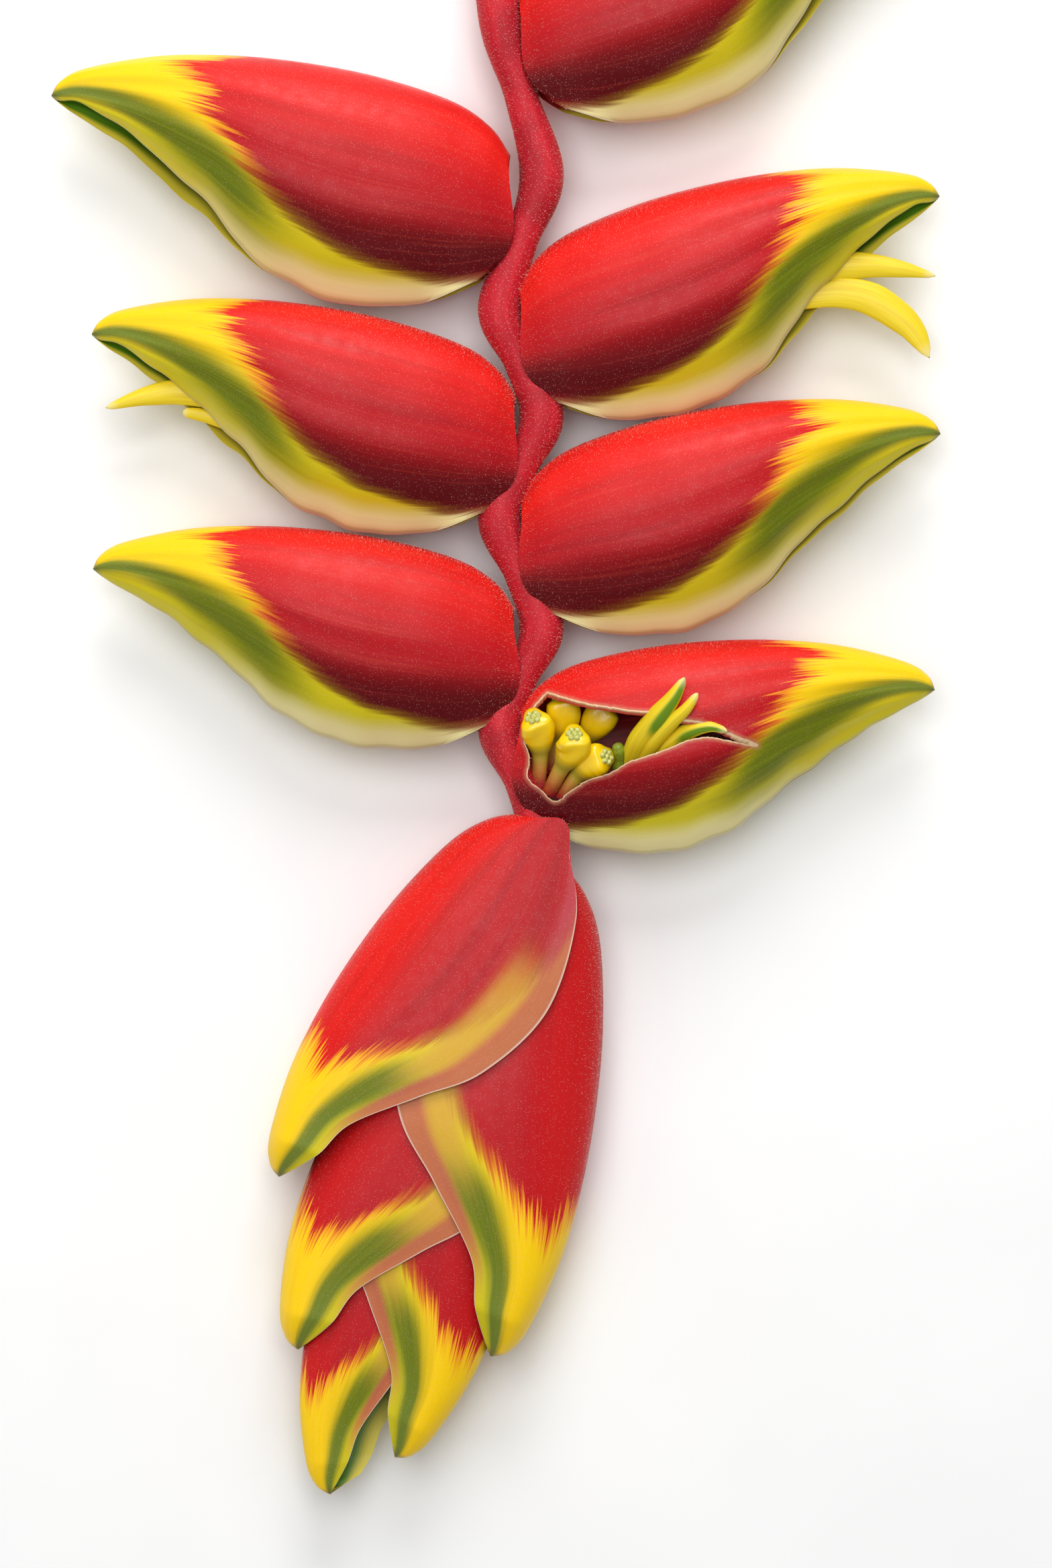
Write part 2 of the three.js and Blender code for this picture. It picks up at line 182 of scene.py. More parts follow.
# ---- folded bracts ----
def fold_outline(spec, lip_line, s, q, lip_shift=0.0):
    """In-plane position in mm, from the bract's root, of points between keel and lip."""
    keel = smooth_line([(x, y * spec.get("crown", 1)) for x, y in KEEL_LINE])(s) * spec["reach"]
    lip = smooth_line([(x, y * spec.get("depth", 1)) for x, y in lip_line])(s) * spec["reach"]
    across = lip - keel
    deep = np.maximum(np.linalg.norm(across, axis=-1), 1e-6)
    p = keel + across * (q * (1 + lip_shift / np.maximum(deep, np.abs(lip_shift) + 1e-6)))[..., None]
    bulge = BASE_BULGE * (1 - np.clip(s / 0.3, 0, 1)) * np.sin(np.pi * np.clip(q, 0, 1) ** 1.6)
    p[..., 0] -= spec["reach"] * bulge
    turn = math.radians(spec["lean"])
    x = spec["side"] * (p[..., 0] * math.cos(turn) - p[..., 1] * math.sin(turn))
    return x, p[..., 0] * math.sin(turn) + p[..., 1] * math.cos(turn), deep


def root_of(node, spec, lip_line, young):
    """The bract's root in mm: its tip and its keel touch two sides of the box of its CAD node."""
    low, high = (np.array(corner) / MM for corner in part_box(node))
    s, q = np.meshgrid(np.linspace(0, 1, 60), np.linspace(0, 1, 12))
    x, y, _ = fold_outline(spec, lip_line, s, q)
    root_x = high[0] - x.max() if spec["side"] > 0 else low[0] - x.min()
    root_y = low[1] - y.min() if young else high[1] - y.max()
    return np.array([root_x, root_y])


MIDDLE = sum(corner[2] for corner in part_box("stem")) / 2 / MM
ROOTS = {node: root_of(node, spec, LIP_LINE, False) for node, spec in GROWN.items()}
ROOTS.update({node: root_of(node, spec, BUD_LIP_LINE, True) for node, spec in YOUNG.items()})


def grown_point(node, s, t, inset, sizes):
    """Points of a grown bract in mm, inset below its outer skin."""
    spec = GROWN[node]
    draw = Random(node)
    q = np.abs(t)
    opened = ramp(s, 0.42, 0.68) * ramp(1 - s, 0.0, 0.08) * spec["gape"]
    waves = sum(draw.uniform(0.1, 0.3) * np.sin(2 * math.pi * (k * s + draw.random())) for k in (2, 5, 9))
    shift = np.where(t > 0, -0.9 * opened, 0.0) + waves * ramp(s, 0.1, 0.3) * ramp(1 - s, 0.02, 0.2)
    x, y, deep = fold_outline(spec, LIP_LINE, s, q, shift * q**3)
    half = sizes.grown_half / MM * eased(GROWN_FULLNESS, s)
    full = 0.44
    folded = np.cos(math.pi / 2 * np.clip((q - full) / (1 - full), 0, 1)) ** 0.8
    section = np.where(q < full, domed(q / full), folded)
    clasp = ramp(1 - s, 0.86, 1.0)
    section = section * (1 - clasp) + domed(q / 0.22) * (1 - 0.25 * ramp(q, 0.6, 1)) * clasp
    wall = inset * np.minimum(1, 0.25 * deep) * (1 - 0.7 * ramp(1 - s, 0.93, 1.0))
    lip_gap = 0.12 + 0.42 * opened
    edge = ramp(q, 0, 0.1)
    ripples = 0.22 * np.sin(q * 31 + 3 * draw.random()) * ramp(s, 0.05, 0.3) * ramp(1 - s, 0.02, 0.2)
    z = np.maximum(half - lip_gap, 0.2) * section + (lip_gap - wall) * edge + ripples * ramp(q, 0.1, 0.3)
    root = ROOTS[node]
    return x + root[0], y + root[1], np.sign(t) * np.maximum(z, 0) + MIDDLE, q, wall, deep


def bud_point(node, s, t, inset, sizes):
    """Points of a young bract of the bud in mm, each layer lying on the next."""
    spec = YOUNG[node]
    layer = list(YOUNG).index(node)
    q = np.abs(t)
    x, y, deep = fold_outline(spec, BUD_LIP_LINE, s, q, np.where(t < 0, spec["back"], 0.0) * q**3)
    root = ROOTS[node]
    x, y = x + root[0], y + root[1]
    start, end = ROOTS["bud_bract_1"] + (2.3, 0), ROOTS["bud_bract_1"] + (-33.7, -138)
    axis = end - start
    along = np.clip(((x - start[0]) * axis[0] + (y - start[1]) * axis[1]) / (axis @ axis), 0, 1)
    off = ((x - start[0]) * axis[1] - (y - start[1]) * axis[0]) / np.linalg.norm(axis)
    height = sizes.bud_half / MM * eased(BUD_FULLNESS, along) * (1 - 0.45 * (off / 40) ** 2)
    height = height - layer * sizes.bud_step / MM
    closing = np.sqrt(np.clip((1 - s) / 0.1, 0, 1))
    wall = inset * np.minimum(1, 0.25 * deep) * (1 - 0.75 * ramp(q, 0.8, 1))
    tucked = 0.45 * ramp(q, 0.3, 0.85) * ramp(1 - s, 0.45, 0.8) if layer else 0.0
    z = np.maximum(height, 0.4) * domed(q / 0.42) * closing * (1 - tucked)
    z = z - wall * ramp(q, 0, 0.1)
    return x, y, np.sign(t) * np.maximum(z, 0) + MIDDLE, q, wall, deep


def skin_facts(s, t, x, y, seed, young, inner_shaded, outline):
    """What decides the colour of a bract's skin at each point, as named values."""
    q = np.abs(t)
    red = eased(YOUNG_RED if young else GROWN_RED, q)
    band = eased(YOUNG_GREEN if young else GROWN_GREEN, s)
    green = np.exp(-(((q - band) / eased(GREEN_WIDTH, s)) ** 2))
    facts = {
        "seed": np.full(len(s), seed),
        # Marks the inner bracts of the bud, which get painted shade.
        "inner_shaded": np.full(len(s), float(inner_shaded)),
        "along": s,
        "side": q,
        "past_red": s - red,
        # belly weights the dark belly red, which is partly the skin's own colour and partly painted shade on
        # the lower side of the fold.
        "belly": ramp(q, 0.42, 0.82) * (0.25 if young else 1),
        "cream": ramp(q, 0.82, 0.97) * ramp(s, 0.8, 0.4) * (0 if young else 1),
        "ragged": 0.17 - 0.09 * ramp(q, 0.3, 0.75),
        "softness": 0.015 + 0.06 * ramp(q, 0.3, 0.8),
        "green": green * ramp(s, *((0.48, 0.7) if young else (0.3, 0.6))),
        "golden": young * ramp(q, 0.62, 0.76) * ramp(q, 0.94, 0.86) * ramp(s, 0.2, 0.38) * ramp(s, 0.75, 0.5),
        "filmy": young * ramp(q, 0.8, 0.92) * ramp(s, 0.95, 0.7),
        "torn": np.zeros(len(s)),
        "hairy": ramp(q, 0.16, 0.02) * ramp(s, 0.75, 0.2) + ramp(s, 0.12, 0.0) * 0.6,
    }
    if len(outline):
        away = np.hypot(x[:, None] - outline[None, :, 0], y[:, None] - outline[None, :, 1]).min(axis=1)
        facts["torn"] = np.exp(-((away / 0.9) ** 1.2)) * (t > 0)
    return facts


def sheet_mesh(name, point_at, wall, seed, young=False, inner_shaded=False, outline=()):
    """A closed folded sheet: its outer skin, its inner skin, the rim between them, and the rim of a hole."""
    along, girth = (190, 60) if len(outline) else (110, 30)
    columns = 2 * girth + 1
    s_values = 1 - (1 - np.linspace(0, 1, along + 1)) ** 1.25
    t_values = np.linspace(-1, 1, columns)
    t_values = np.sign(t_values) * np.abs(t_values) ** 1.15
    skins = []
    for reach, inset in [(1, 0), (0.985, wall)]:
        s, t = np.meshgrid(s_values * reach, t_values, indexing="ij")
        x, y, z, q, thin, deep = point_at(s, t, inset)
        keel = point_at(s, np.zeros_like(t), 0)
        lip = point_at(s, np.sign(t) * np.ones_like(t), 0)
        pull = (thin / np.maximum(deep, 1e-6)) * (1 - q)
        skins.append(np.stack([x + (lip[0] - keel[0]) * pull, y + (lip[1] - keel[1]) * pull, z, s, t], -1))
    outer, inner = skins
    gone = np.zeros((along, columns - 1), bool)
    if len(outline):
        middle = (outer[:-1, :-1] + outer[1:, 1:]) / 2
        gone = inside(middle[..., 0], middle[..., 1], outline) & (middle[..., 4] > 0)
        around = np.pad(gone, 1)
        cells = [around[i : i + along + 1, j : j + columns] for i in (0, 1) for j in (0, 1)]
        for i, j in zip(*np.nonzero(np.any(cells, axis=0) & ~np.all(cells, axis=0))):
            nearest = outline[np.hypot(*(outline - outer[i, j, :2]).T).argmin()]
            step = nearest - outer[i, j, :2]
            outer[i, j, :2] += step
            inner[i, j, :2] += step
    numbers = np.arange(2 * (along + 1) * columns).reshape(2, along + 1, columns)
    numbers[:, -1, :] = numbers[:, -1, girth : girth + 1]
    skins = np.array([outer, inner])
    skins[:, -1, girth, 2] = MIDDLE
    faces, linings = [], []

    def face(lining, *corners):
        kept = [c for k, c in enumerate(corners) if c != corners[k - 1]]
        if len(kept) > 2:
            faces.append(kept)
            linings.append(lining)

    def rim(lining, a, b):
        """The strip between the two skins along one edge of the grid."""
        face(lining, numbers[0][a], numbers[0][b], numbers[1][b], numbers[1][a])

    for i in range(along):
        for j in range(columns - 1):
            a, b, c, d = (i, j), (i, j + 1), (i + 1, j + 1), (i + 1, j)
            if not gone[i, j]:
                face(0, *(numbers[0][k] for k in (a, b, c, d)))
                face(1, *(numbers[1][k] for k in (d, c, b, a)))
            if i == 0 and not gone[i, j]:
                rim(0, b, a)
            if i and gone[i, j] != gone[i - 1, j]:
                rim(0, a, b)
            if j and gone[i, j] != gone[i, j - 1]:
                rim(0, a, d)
        rim(0, (i, 0), (i + 1, 0))
        rim(0, (i + 1, columns - 1), (i, columns - 1))
    x, y, z, s, t = skins.reshape(-1, 5).T
    facts = skin_facts(s, t, x, y, seed, young, inner_shaded, outline)
    points = np.stack([x, y, z], -1) * MM
    return mesh_object(name, points, faces, np.stack([s, 0.5 + 0.5 * t], -1), linings, facts)


def mesh_object(name, points, faces, coords, slots, facts):
    """An object from points in metres, with a UV map, a material slot for each face and named values."""
    mesh = bpy.data.meshes.new(name)
    mesh.from_pydata([tuple(map(float, p)) for p in points], [], [[int(c) for c in f] for f in faces])
    mesh.polygons.foreach_set("material_index", slots)
    uv = mesh.uv_layers.new(name="growth")
    corners = np.empty(len(mesh.loops), int)
    mesh.loops.foreach_get("vertex_index", corners)
    uv.data.foreach_set("uv", np.array(coords, float)[corners].ravel())
    for label, values in facts.items():
        attribute = mesh.attributes.new(label, "FLOAT", "POINT")
        attribute.data.foreach_set("value", np.asarray(values, float))
    obj = bpy.data.objects.new(name, mesh)
    bpy.context.scene.collection.objects.link(obj)
    tidy_mesh(obj)
    return obj


def tidy_mesh(obj):
    """Drops loose points, turns the faces out and shades them smooth up to a crease."""
    work = bmesh.new()
    work.from_mesh(obj.data)
    bmesh.ops.delete(work, geom=[v for v in work.verts if not v.link_faces], context="VERTS")
    bmesh.ops.recalc_face_normals(work, faces=work.faces)
    work.to_mesh(obj.data)
    work.free()
    obj.data.polygons.foreach_set("use_smooth", [True] * len(obj.data.polygons))
    obj.data.set_sharp_from_angle(angle=math.radians(CREASE_DEGREES))


def claim(obj, slot, *nodes):
    """Ties a finished piece to its body and hides the CAD nodes that it stands for. The slot is not used."""
    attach(obj, BODY)
    if nodes:
        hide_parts(*nodes)


# ---- material nodes ----
def linear(hex_colour):
    """An sRGB hex colour as linear RGBA."""
    channels = [int(hex_colour[k : k + 2], 16) / 255 for k in (1, 3, 5)]
    return [c / 12.92 if c <= 0.04045 else ((c + 0.055) / 1.055) ** 2.4 for c in channels] + [1.0]


def tint(name):
    """A colour that the user can set, as linear RGBA."""
    return [*getattr(bpy.context.scene.heliconia_colours, name), 1.0]


def add_node(tree, kind, inputs=None, **settings):
    """Adds a node with its settings; each input is linked from a socket or set to a value."""
    node = tree.nodes.new(kind)
    for key, value in settings.items():
        setattr(node, key, value)
    for key, value in (inputs or {}).items():
        if isinstance(value, bpy.types.NodeSocket):
            tree.links.new(value, node.inputs[key])
        else:
            node.inputs[key].default_value = value
    return node


def new_material(name, roughness, **constants):
    """A material with its Principled shader; constants go straight on the shader's own sockets."""
    material = bpy.data.materials.new(name)
    material.use_nodes = True
    shader = material.node_tree.nodes["Principled BSDF"]
    shader.inputs["Roughness"].default_value = roughness
    for key, value in constants.items():
        shader.inputs[key.replace("_", " ")].default_value = value
    return material, material.node_tree, shader


def drawn_out(tree, lengthwise, crosswise):
    """Noise drawn out along the growth of a piece, with so many cells along it and across it."""
    place = add_node(tree, "ShaderNodeUVMap", uv_map="growth")
    cells = (lengthwise, crosswise, 1)
    scale = add_node(tree, "ShaderNodeMapping", {"Vector": place.outputs[0], "Scale": cells})
    seed = add_node(tree, "ShaderNodeAttribute", attribute_name="seed")
    noise = add_node(
        tree, "ShaderNodeTexNoise",
        {"Vector": scale.outputs[0], "W": seed.outputs["Fac"], "Scale": 1.0, "Detail": 2.0},
        noise_dimensions="4D",
    )
    return noise.outputs[0]


def grain(tree, size_mm):
    """Even noise whose cells are so many millimetres across."""
    place = add_node(tree, "ShaderNodeTexCoord")
    scale = 1 / (size_mm * MM)
    noise = add_node(
        tree, "ShaderNodeTexNoise", {"Vector": place.outputs["Object"], "Scale": scale, "Detail": 2.0}
    )
    return noise.outputs[0]


def specks(tree, spacing_mm):
    """The distance from small points so many millimetres apart, as a share of that spacing."""
    place = add_node(tree, "ShaderNodeTexCoord")
    scale = 1 / (spacing_mm * MM)
    dots = add_node(tree, "ShaderNodeTexVoronoi", {"Vector": place.outputs["Object"], "Scale": scale})
    return dots.outputs["Distance"]


def painted(tree, colour, layers):
    """Lays colours over one another, each up to a share where its field has passed from low to high."""
    for field, low, high, most, over in layers:
        share = add_node(
            tree, "ShaderNodeMapRange", {0: field, 1: low, 2: high, 4: most}, interpolation_type="SMOOTHSTEP"
        )
        mixed = add_node(tree, "ShaderNodeMix", {0: share.outputs[0], 6: colour, 7: over}, data_type="RGBA")
        colour = mixed.outputs[2]
    return colour


def bract_skin():
    """Heliconia bract skin: waxy leaf tissue, red and then yellow and green, with a pale lip."""
    # Values stored on the mesh choose the colour, and noise drawn out along the growth streaks it.
    material, tree, shader = new_material("waxy bract skin", 0.42, Specular_IOR_Level=0.22)
    names = (
        "along", "side", "belly", "cream", "past_red", "ragged", "softness", "green", "golden", "filmy",
        "torn", "inner_shaded",
    )
    along, side, belly, cream, past, ragged, softness, green, golden, filmy, torn, inner_shaded = (
        add_node(tree, "ShaderNodeAttribute", attribute_name=name).outputs["Fac"] for name in names
    )
    broad = drawn_out(tree, 2.2, 24)
    fine = drawn_out(tree, 8, 150)
    veins = drawn_out(tree, 2.5, 150)
    pores = grain(tree, 0.3)

    # The red runs from bright at the keel to dark crimson low on the belly. This is partly the skin's own
    # colour, and partly a painted highlight along the keel and painted shade on the belly, where the skin turns
    # away from the light.
    red = painted(tree, tint("keel_red_and_highlight"), [
        (side, 0.08, 0.5, 1.0, tint("side_red")),
        (belly, 0.0, 1.0, 1.0, tint("belly_red_and_shade")),
        (side, 0.86, 1.0, 0.7, tint("side_red")),
        (broad, 0.42, 0.72, 0.22, tint("belly_red_and_shade")),
        (veins, 0.52, 0.75, 0.1, linear("#f2583e")),
        # Painted shade: the inner bracts of the bud, which lie under the outer ones, are darkened towards the
        # side red.
        (inner_shaded, 0.0, 1.0, 0.6, tint("side_red")),
    ])
    # The fingers of red are long at the keel and melt into the green at the belly.
    fingers = add_node(tree, "ShaderNodeMath", {0: fine, 1: 1.2, 2: broad}, operation="MULTIPLY_ADD")
    centred = add_node(tree, "ShaderNodeMath", {0: fingers.outputs[0], 1: 1.1}, operation="SUBTRACT")
    edge = add_node(
        tree, "ShaderNodeMath", {0: centred.outputs[0], 1: ragged, 2: past}, operation="MULTIPLY_ADD"
    )
    before = add_node(tree, "ShaderNodeMath", {0: softness, 1: -1.0}, operation="MULTIPLY")

    ripe = painted(tree, tint("keel_yellow"), [
        (side, 0.45, 0.85, 1.0, linear("#d2c416")),
        (broad, 0.45, 0.75, 0.2, linear("#eeb000")),
        (cream, 0.0, 1.0, 0.85, tint("lip_cream")),
        (side, 0.972, 0.995, 0.5, linear("#9aa050")),
    ])
    green_skin = painted(tree, tint("leaf_green"), [
        (along, 0.72, 0.95, 0.8, tint("tip_green")),
        (veins, 0.4, 0.75, 0.4, linear("#7f8f14")),
    ])
    mottled = add_node(tree, "ShaderNodeMath", {0: broad, 1: 0.5, 2: green}, operation="MULTIPLY_ADD")
    ripe = painted(tree, ripe, [(mottled.outputs[0], 0.3, 1.2, 0.92, green_skin)])
    blush = painted(tree, linear("#e8741a"), [(side, 0.5, 0.75, 1.0, linear("#7a3c08"))])
    skin = painted(tree, ripe, [
        (edge.outputs[0], 0.07, 0.0, 0.8, blush),
        (edge.outputs[0], softness, before.outputs[0], 1.0, red),
    ])

    skin = painted(tree, skin, [
        (golden, 0.0, 1.0, 0.8, tint("gold")),
        (filmy, 0.0, 1.0, 0.8, tint("thin_margin")),
        (side, 0.984, 0.997, 0.6, linear("#ead6c0")),
        (along, 0.965, 0.995, 0.8, linear("#6e6a34")),
        (specks(tree, 0.45), 0.24, 0.12, 0.16, linear("#ffd0c0")),
        (torn, 0.25, 0.75, 0.55, linear("#c87c62")),
        (torn, 0.72, 0.95, 0.9, linear("#e9cba0")),
    ])
    tree.links.new(skin, shader.inputs["Base Color"])
    height = add_node(tree, "ShaderNodeMath", {0: pores, 1: 0.6, 2: veins}, operation="MULTIPLY_ADD")
    relief = add_node(
        tree, "ShaderNodeBump", {"Height": height.outputs[0], "Distance": 0.07 * MM, "Strength": 0.5}
    )
    tree.links.new(relief.outputs[0], shader.inputs["Normal"])
    gloss = add_node(tree, "ShaderNodeMapRange", {0: grain(tree, 2.5), 1: 0.3, 2: 0.7, 3: 0.36, 4: 0.5})
    tree.links.new(gloss.outputs[0], shader.inputs["Roughness"])
    return material


def bract_lining():
    """The inner skin of a bract: smooth and silky, crimson in the fold and bright green with a yellow lip."""
    material, tree, shader = new_material("smooth bract lining", 0.4, Specular_IOR_Level=0.4)
    side, past, torn = (
        add_node(tree, "ShaderNodeAttribute", attribute_name=name).outputs["Fac"]
        for name in ("side", "past_red", "torn")
    )
    veins = drawn_out(tree, 2.5, 130)
    red = painted(tree, linear("#8f0d12"), [(veins, 0.35, 0.7, 0.7, linear("#c22a26"))])
    green = painted(tree, linear("#4f8212"), [
        (veins, 0.4, 0.75, 0.4, linear("#7fa622")),
        (side, 0.82, 0.96, 1.0, linear("#d9c63a")),
    ])
    skin = painted(tree, red, [(past, -0.04, 0.05, 1.0, green), (torn, 0.5, 0.9, 0.8, linear("#e9cba0"))])
    tree.links.new(skin, shader.inputs["Base Color"])
    relief = add_node(
        tree, "ShaderNodeBump", {"Height": veins, "Distance": 0.08 * MM, "Strength": 0.6}
    )
    tree.links.new(relief.outputs[0], shader.inputs["Normal"])
    return material


def velvet_stem():
    """Living stem covered with very short hairs, so it scatters light at its edges like velvet."""
    material, tree, shader = new_material(
        "velvety stem skin", 0.6, Specular_IOR_Level=0.3, Sheen_Weight=0.15, Sheen_Roughness=0.4
    )
    shader.inputs["Sheen Tint"].default_value = linear("#ff9f96")
    streaks = drawn_out(tree, 26, 18)
    skin = painted(tree, tint("stem_red"), [
        (streaks, 0.4, 0.75, 0.5, linear("#df2c36")),
        (grain(tree, 9), 0.42, 0.7, 0.5, linear("#8c0a1a")),
        (specks(tree, 0.5), 0.26, 0.14, 0.35, linear("#f2a49e")),
    ])
    tree.links.new(skin, shader.inputs["Base Color"])
    height = add_node(
        tree, "ShaderNodeMath", {0: streaks, 1: 0.5, 2: grain(tree, 0.4)}, operation="MULTIPLY_ADD"
    )
    relief = add_node(
        tree, "ShaderNodeBump", {"Height": height.outputs[0], "Distance": 0.12 * MM, "Strength": 0.6}
    )
    tree.links.new(relief.outputs[0], shader.inputs["Normal"])
    return material


def ovary_flesh():
    """Smooth living flesh: deep yellow at the cap, greener below it and red at the foot of the stalk."""
    material, tree, shader = new_material("smooth ovary flesh", 0.28, Specular_IOR_Level=0.5, Coat_Weight=0.2)
    along = add_node(tree, "ShaderNodeAttribute", attribute_name="along").outputs["Fac"]
    skin = painted(tree, linear("#a3202c"), [
        (along, 0.02, 0.3, 1.0, linear("#c98a3c")),
        (along, 0.25, 0.45, 1.0, linear("#c0ad38")),
        (along, 0.48, 0.68, 1.0, tint("ovary_yellow")),
        (grain(tree, 2.2), 0.5, 0.8, 0.25, linear("#e0a600")),
        (grain(tree, 0.35), 0.6, 0.75, 0.3, linear("#f7da4a")),
    ])
    tree.links.new(skin, shader.inputs["Base Color"])
    relief = add_node(
        tree, "ShaderNodeBump", {"Height": grain(tree, 0.5), "Distance": 0.05 * MM, "Strength": 0.4}
    )
    tree.links.new(relief.outputs[0], shader.inputs["Normal"])
    return material


def petal_skin():
    """Petal tissue: yellow with fine veins, a green keel on some petals and a pale dry tip."""
    material, tree, shader = new_material("veined yellow petal", 0.4, Specular_IOR_Level=0.4)
    along, keel = (
        add_node(tree, "ShaderNodeAttribute", attribute_name=name).outputs["Fac"]
        for name in ("along", "keel")
    )
    veins = drawn_out(tree, 2, 40)
    skin = painted(tree, tint("petal_yellow"), [
        (veins, 0.4, 0.7, 0.6, linear("#dcb80e")),
        (keel, 0.2, 0.8, 0.9, linear("#4f8a12")),
        (along, 0.88, 0.99, 0.6, linear("#efe3a8")),
        (along, 0.985, 1.0, 0.5, linear("#8a6a3a")),
    ])
    tree.links.new(skin, shader.inputs["Base Color"])
    relief = add_node(
        tree, "ShaderNodeBump", {"Height": veins, "Distance": 0.1 * MM, "Strength": 0.5}
    )
    tree.links.new(relief.outputs[0], shader.inputs["Normal"])
    return material


def scar_flesh():
    """Pale green pads left where the flower dropped off the ovary."""
    material, tree, shader = new_material("pale green scar tissue", 0.5)
    skin = painted(tree, linear("#b0b44a"), [(grain(tree, 0.5), 0.35, 0.65, 1.0, linear("#d8d88a"))])
    tree.links.new(skin, shader.inputs["Base Color"])
    return material


def green_bud():
    """A closed young flower bud: green, with fine pale dots."""
    material, tree, shader = new_material("green flower bud skin", 0.4)
    skin = painted(tree, tint("bud_green"), [
        (drawn_out(tree, 2, 20), 0.35, 0.7, 0.7, linear("#a3a92c")),
        (specks(tree, 0.35), 0.3, 0.15, 0.5, linear("#d5d890")),
    ])
    tree.links.new(skin, shader.inputs["Base Color"])
    return material


def dry_tissue():
    """Torn bract tissue that has dried: thin, matt and red-brown, paler at its edges."""
    material, tree, shader = new_material("dried torn tissue", 0.7)
    along = add_node(tree, "ShaderNodeAttribute", attribute_name="along").outputs["Fac"]
    skin = painted(tree, linear("#5a0d0c"), [
        (grain(tree, 0.8), 0.4, 0.65, 0.7, linear("#9c3a20")),
        (along, 0.8, 1.0, 0.5, linear("#c88a5a")),
    ])
    tree.links.new(skin, shader.inputs["Base Color"])
    relief = add_node(
        tree, "ShaderNodeBump", {"Height": grain(tree, 0.4), "Distance": 0.2 * MM, "Strength": 0.8}
    )
    tree.links.new(relief.outputs[0], shader.inputs["Normal"])
    return material


def curled_rim():
    """Fresh torn tissue that has curled outwards and shows its orange inner layer."""
    material, tree, shader = new_material("curled orange rim", 0.42)
    skin = painted(tree, linear("#e0902c"), [(grain(tree, 1.0), 0.4, 0.65, 0.6, linear("#efc064"))])
    tree.links.new(skin, shader.inputs["Base Color"])
    return material


def pale_hair():
    """Short colourless plant hairs, which show as a pale fuzz against the light."""
    material, _, shader = new_material("pale plant hair", 0.7)
    shader.inputs["Base Color"].default_value = linear("#e8b7a8")
    return material


def pale_floor():
    """A matt white paper sweep: even and pale, with hardly any tooth."""
    material, tree, shader = new_material("matt white paper", 0.9, Specular_IOR_Level=0.1)
    paper = painted(tree, tint("floor"), [(grain(tree, 40), 0.3, 0.7, 0.3, linear("#ffffff"))])
    tree.links.new(paper, shader.inputs["Base Color"])
    return material


MATERIALS = {}


def material(make):
    """Each material is made once and shared."""
    if make not in MATERIALS:
        MATERIALS[make] = make()
    return MATERIALS[make]


# ---- swept pieces: stalks, ovaries and petals ----
def swept_mesh(name, line, radii, thin=1.0, lobes=0.0, keel=0.0, folded=0.0):
    """A round body along a line in mm. lobes makes its end three-lobed, and folded bends it like a boat."""
    steps, sides = 60, 28
    path = smooth_line(line)
    u = np.linspace(0, 1, steps + 1)
    centre = path(u)
    along = np.gradient(centre, axis=0)
    along /= np.linalg.norm(along, axis=1)[:, None]
    across = np.cross((0, 0, 1), along)
    across /= np.linalg.norm(across, axis=1)[:, None]
    over = np.cross(along, across)
    radius = np.interp(u, *zip(*radii))
    radius = np.convolve(np.pad(radius, 2, mode="edge"), np.ones(5) / 5, mode="valid")
    radius *= np.sqrt(np.clip((1 - u) / 0.05, 0, 1)) * np.sqrt(np.clip((u + 0.004) / 0.01, 0, 1))
    turn = np.linspace(0, 2 * math.pi, sides, endpoint=False)
    bulge = 1 + lobes * ramp(u, 0.58, 0.85)[:, None] * np.cos(3 * turn - 0.5 * math.pi)[None, :]
    wide = radius[:, None] * np.cos(turn)[None, :] * bulge
    high = thin * radius[:, None] * np.sin(turn)[None, :] * bulge
    high = high - folded * np.abs(wide) * ramp(u, 0.1, 0.5)[:, None]
    rings = centre[:, None, :] + across[:, None, :] * wide[..., None] + over[:, None, :] * high[..., None]
    points = list(rings[:-1].reshape(-1, 3) * MM) + [centre[0] * MM, centre[-1] * MM]
    coords = [(a, b / sides) for a in u[:-1] for b in range(sides)] + [(0, 0.5), (1, 0.5)]
    foot, end = len(points) - 2, len(points) - 1
    faces = []
    for i in range(steps - 1):
        for j in range(sides):
            k = (j + 1) % sides
            faces.append([i * sides + j, i * sides + k, (i + 1) * sides + k, (i + 1) * sides + j])
    last = (steps - 1) * sides
    for j in range(sides):
        k = (j + 1) % sides
        faces += [[foot, k, j], [end, last + j, last + k]]
    share = np.array(coords)
    stripe = keel * np.exp(-(((share[:, 1] - 0.32) / 0.11) ** 2)) * ramp(share[:, 0], 0.3, 0.6)
    facts = {"along": share[:, 0], "keel": stripe, "seed": np.zeros(len(share))}
    return mesh_object(name, points, faces, coords, [0] * len(faces), facts)


def grown_from(bract, line):
    """A line in mm measured from a bract's root, put in its place."""
    return np.array(line, float) + (*ROOTS[bract], MIDDLE)


OVARY_RADII = [
    (0, 1.5), (0.3, 1.6), (0.42, 1.75), (0.52, 2.5), (0.66, 3.2), (0.8, 3.35), (0.92, 3.05), (1, 2.4),
]
OVARIES = {
    "ovary_1": [(3.6, -15.9, 0.5), (4.0, -9.0, 2.6), (3.5, -4.4, 5.6), (2.6, -1.8, 8.4)],
    "ovary_2": [(5.6, -17.4, 1.0), (8.2, -12.2, 3.4), (10.6, -7.8, 7.0), (10.8, -5.2, 10.0)],
    "ovary_3": [(8.2, -18.4, 0.4), (11.6, -13.6, 2.4), (14.9, -10.8, 5.0), (17.4, -9.8, 7.4)],
    "ovary_4": [(6.3, -13.4, -4.2), (7.5, -6.0, -2.4), (8.7, -1.6, 0.2), (8.0, 2.4, 1.6)],
    "ovary_5": [(10.8, -12.0, -4.4), (13.2, -6.6, -3.0), (15.6, -2.6, -0.6), (18.2, 0.6, 0.4)],
}
